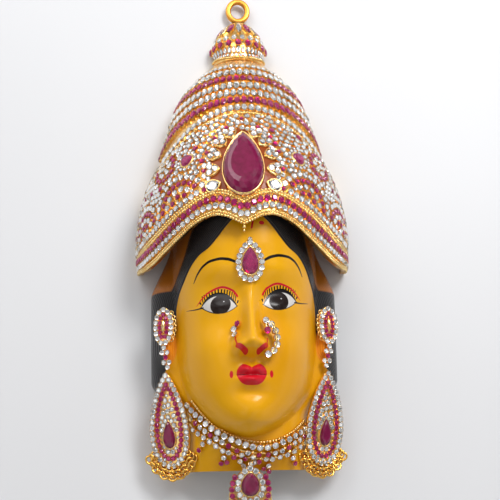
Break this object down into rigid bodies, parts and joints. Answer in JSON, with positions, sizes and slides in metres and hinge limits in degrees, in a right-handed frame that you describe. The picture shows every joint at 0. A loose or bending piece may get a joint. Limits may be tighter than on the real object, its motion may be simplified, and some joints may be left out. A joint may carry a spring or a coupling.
{
  "type": "lakshmi face mask",
  "caption": "Hollow moulded goddess face mask with a tall stepped jewelled crown, painted yellow face, stone-set ear drops, nose ornaments, necklace and a hanging ring.",
  "frame": {"origin": "centre of the bounding box, at the plane of the back rims", "axes": "+Z out of the face, +Y towards the tip of the crown, +X to the viewer's right"},
  "size_m": [0.1332, 0.3444, 0.0818],
  "materials": {
    "painted_face": "turmeric yellow gloss paint over a moulded shell",
    "gold": "gold plated, polished",
    "ruby": "faceted magenta glass stones in gold settings",
    "crystal": "faceted clear glass stones with foil backs in gold settings"
  },
  "bodies": {
    "root": {"brow_crystals": "crystal", "brow_rubies": "ruby", "cone_rubies": "ruby", "crown": "gold", "crown_petal_left_1": "crystal", "crown_petal_left_2": "crystal", "crown_petal_left_3": "crystal", "crown_petal_left_4": "crystal", "crown_petal_left_5": "crystal", "crown_petal_right_1": "crystal", "crown_petal_right_2": "crystal", "crown_petal_right_3": "crystal", "crown_petal_right_4": "crystal", "crown_petal_right_5": "crystal", "crown_rosette_left": "ruby", "crown_rosette_right": "ruby", "crown_ruby": "ruby", "dome_rubies_lower": "ruby", "dome_rubies_upper": "ruby", "ear_drop_left": "crystal", "ear_drop_right": "crystal", "ear_drop_ruby_left": "ruby", "ear_drop_ruby_right": "ruby", "ear_fringe_left": "gold", "ear_fringe_right": "gold", "ear_stud_left": "crystal", "ear_stud_right": "crystal", "forehead_pendant": "crystal", "forehead_ruby": "ruby", "hanging_ring": "gold", "mask_head": "painted_face", "necklace": "crystal", "necklace_pendant": "crystal", "nose_ring": "crystal", "nose_stud": "crystal", "pendant_ruby": "ruby"}
  },
  "joints": []
}
